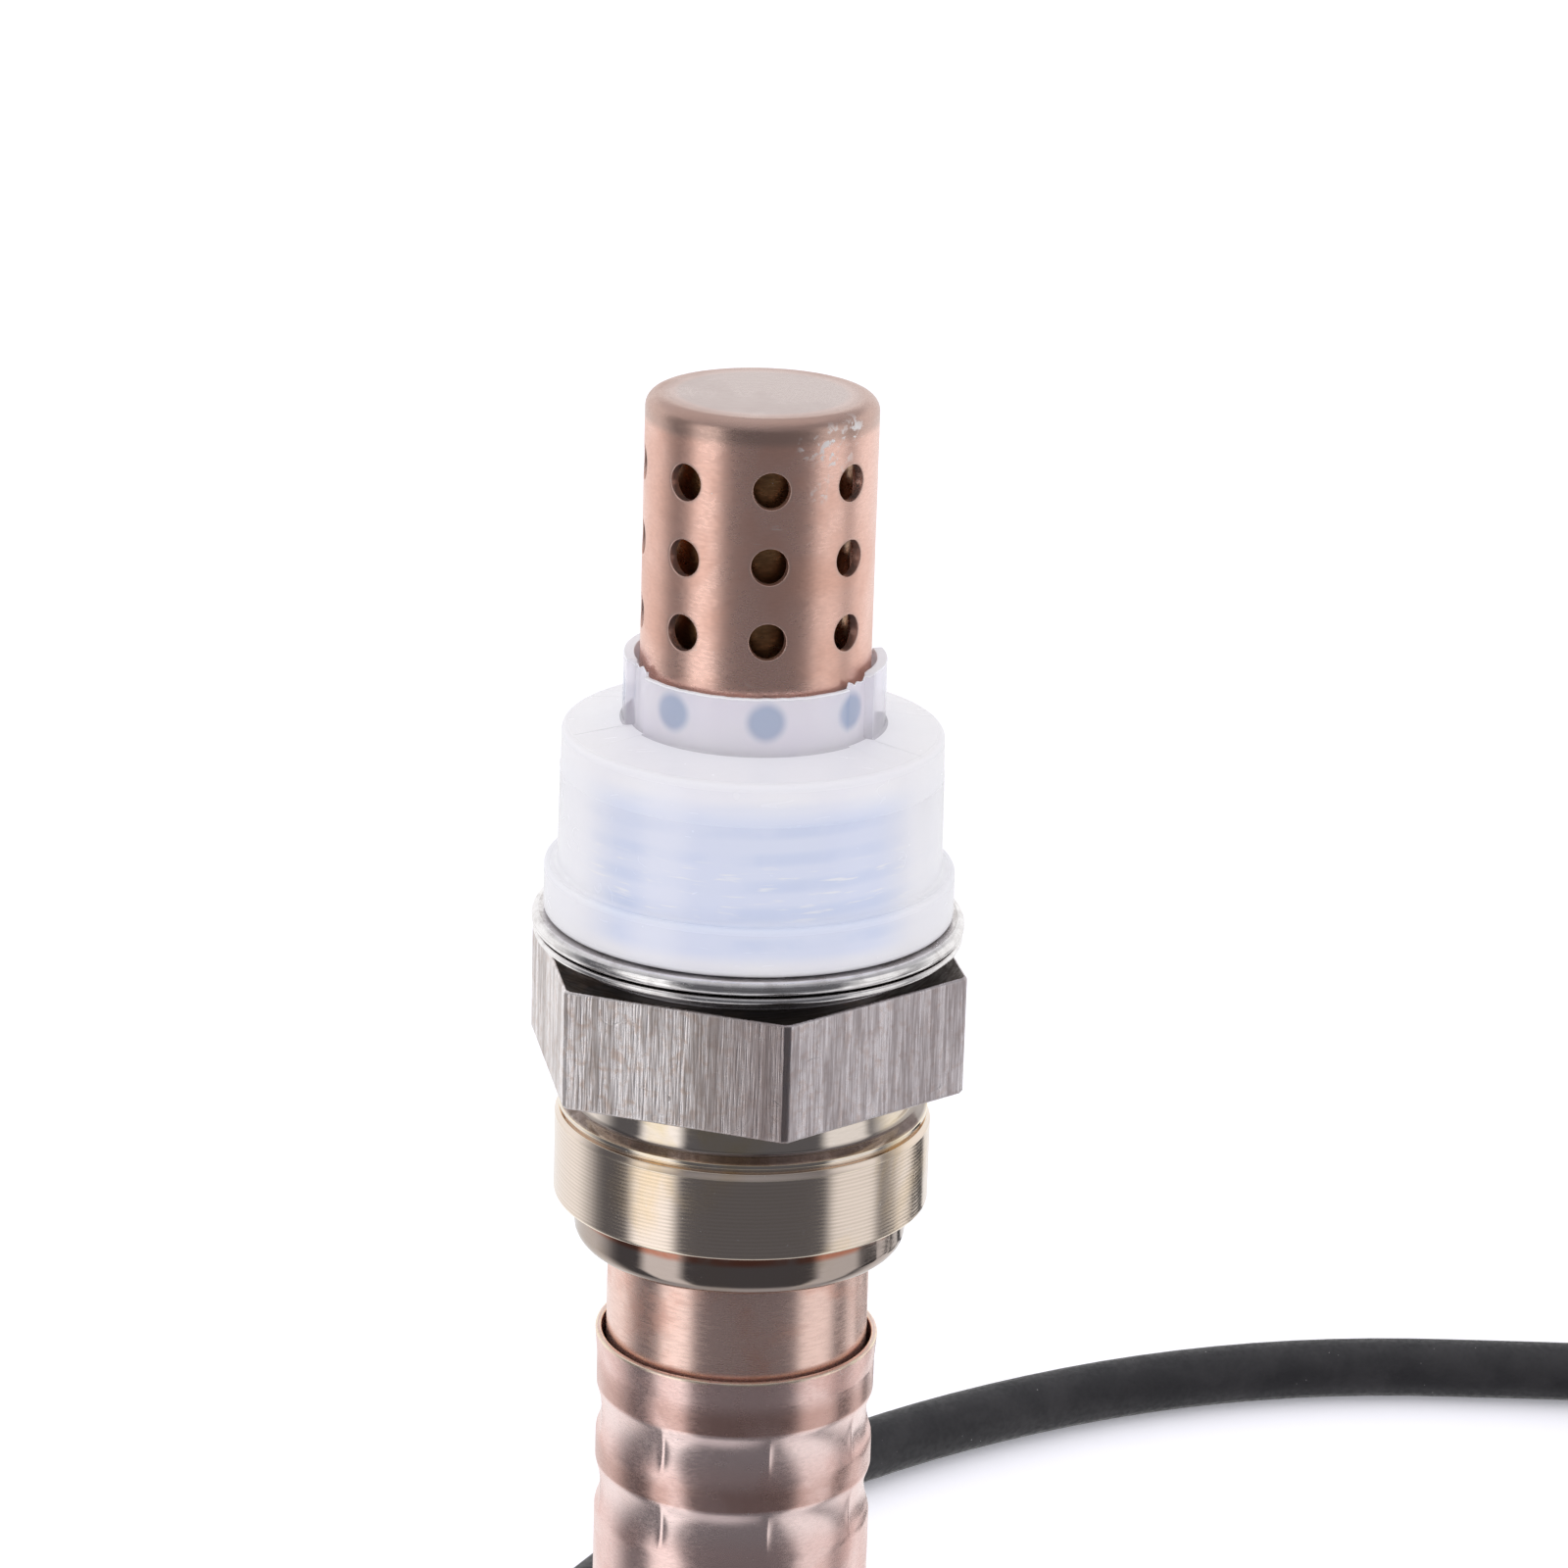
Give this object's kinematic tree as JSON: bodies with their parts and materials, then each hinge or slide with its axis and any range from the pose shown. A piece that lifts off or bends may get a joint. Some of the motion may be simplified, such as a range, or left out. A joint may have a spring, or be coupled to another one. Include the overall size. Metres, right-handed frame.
{
  "type": "oxygen sensor",
  "caption": "Threaded heated exhaust gas oxygen sensor, tip up, with perforated protector, push-on thread cap, folded gasket, hex housing, crimped cover and sleeved lead.",
  "frame": {"origin": "on the sensor's axis at the top face of the gasket, where the exhaust boss lands", "axes": "+Z along the thread towards the tip, -Y towards the viewer's side, +X to the right"},
  "size_m": [0.1783, 0.1677, 0.1261],
  "materials": {
    "plated_steel": "turned and nickel plated",
    "gasket_steel": "smooth rolled strip",
    "protector_steel": "drawn, satin, bronze heat tint",
    "inner_tube_steel": "drawn, satin",
    "soft_metal": "plain",
    "white_ceramic": "matt",
    "pressed_talc": "matt powder",
    "element_ceramic": "fired, matt",
    "spring_steel": "rolled",
    "sleeve_steel": "drawn, satin, warm tint",
    "cover_steel": "drawn, satin, warm tint",
    "filter_membrane": "porous white",
    "tinned_metal": "tin plated",
    "white_insulation": "extruded",
    "black_insulation": "extruded",
    "grey_insulation": "extruded",
    "seal_rubber": "moulded, matt",
    "cap_plastic": "milky translucent moulding",
    "sleeving": "coated sleeve, satin",
    "shrink_tube": "shrunk, satin",
    "seal_silicone": "moulded silicone",
    "connector_plastic": "fine spark texture",
    "retainer_plastic": "moulded"
  },
  "bodies": {
    "sensor": {"housing": "plated_steel", "gasket": "gasket_steel", "outer_protector": "protector_steel", "inner_protector": "inner_tube_steel", "element_seal": "soft_metal", "front_ceramic": "white_ceramic", "talc_packing": "pressed_talc", "rear_ceramic": "white_ceramic", "sensor_element": "element_ceramic", "disc_spring": "spring_steel", "inner_sleeve": "sleeve_steel", "outer_cover": "cover_steel", "vent_filter": "filter_membrane", "contact_holder": "white_ceramic", "holder_clip": "spring_steel", "contacts": "spring_steel", "crimp_barrels": "tinned_metal", "heater_wires": "white_insulation", "signal_wire": "black_insulation", "ground_wire": "grey_insulation", "grommet": "seal_rubber", "cable_sleeve": "sleeving", "cable_coil": "sleeving", "cable_tail": "sleeving", "sleeve_ferrule": "shrink_tube", "connector_heater_wires": "white_insulation", "connector_signal_wire": "black_insulation", "connector_ground_wire": "grey_insulation", "connector_seal": "seal_silicone", "connector_housing": "connector_plastic", "connector_latch": "connector_plastic", "mouth_seal": "seal_silicone", "terminal_retainer": "retainer_plastic", "terminals": "tinned_metal"},
    "cap": {"thread_cap": "cap_plastic"}
  },
  "joints": [
    {"name": "cap_slide", "type": "slide", "parent": "sensor", "child": "cap", "axis": [0, 0, 1], "range_m": [0, 0.04]}
  ]
}
